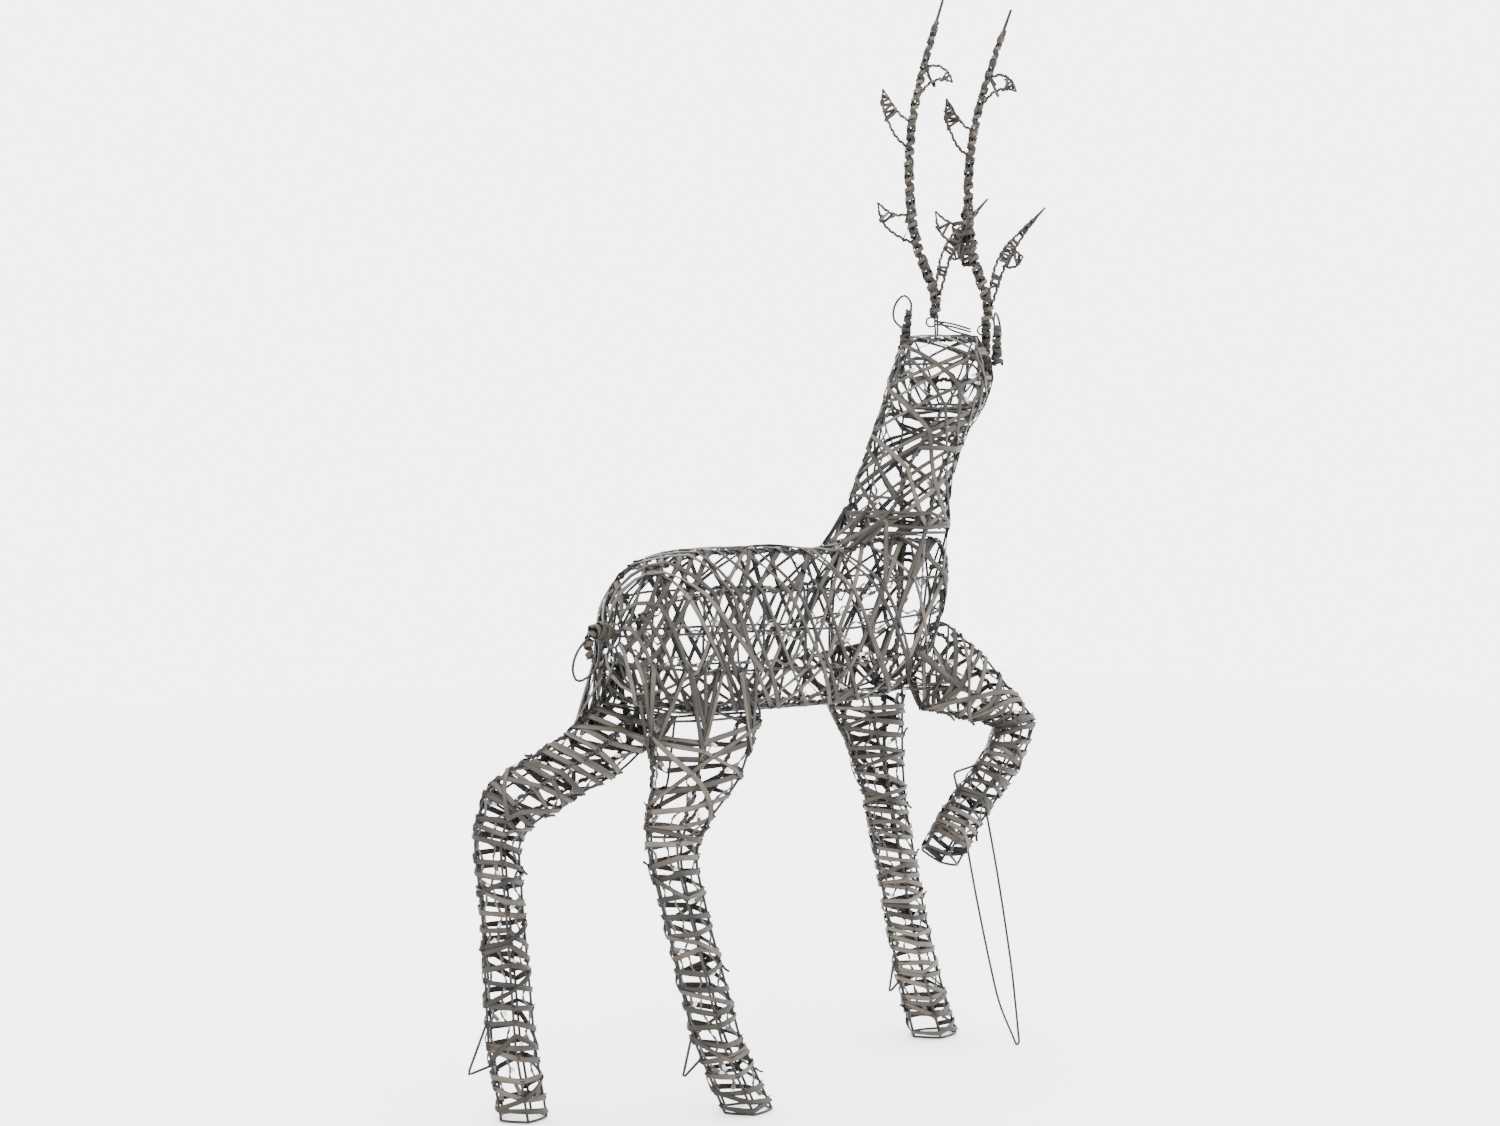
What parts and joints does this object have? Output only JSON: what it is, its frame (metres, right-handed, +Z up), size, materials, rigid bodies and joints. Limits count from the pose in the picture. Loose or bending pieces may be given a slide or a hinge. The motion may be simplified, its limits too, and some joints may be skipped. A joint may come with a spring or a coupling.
{
  "type": "light-up reindeer",
  "caption": "Standing light-up reindeer: wire cages wound with flat rattan strip, one front leg raised on a wire prop, antlers, and a string of small bulbs laced inside.",
  "frame": {"origin": "on the ground, in the middle of the figure's bounding box", "axes": "+Z up, +X the way the reindeer walks, +Y its left side"},
  "size_m": [0.8886, 0.2564, 1.4564],
  "materials": {
    "wire": "satin grey wire, slightly dulled",
    "rattan": "flat split rattan, weathered grey-brown, fine lengthwise grain",
    "cable": "thin dark cable with dark bulb holders",
    "bulb": "small clear bulbs, unlit"
  },
  "bodies": {
    "root": {"torso_frame": "wire", "neck_head_frame": "wire", "hind_leg_left_frame": "wire", "hind_leg_right_frame": "wire", "front_leg_left_frame": "wire", "front_leg_right_frame": "wire", "ear_left": "wire", "ear_right": "wire", "prop_wire": "wire", "torso_wicker": "rattan", "neck_head_wicker": "rattan", "hind_leg_left_wicker": "rattan", "hind_leg_right_wicker": "rattan", "front_leg_left_wicker": "rattan", "front_leg_right_wicker": "rattan", "antler_left": "rattan", "antler_right": "rattan", "tail": "rattan", "light_string": "cable"}
  },
  "joints": []
}
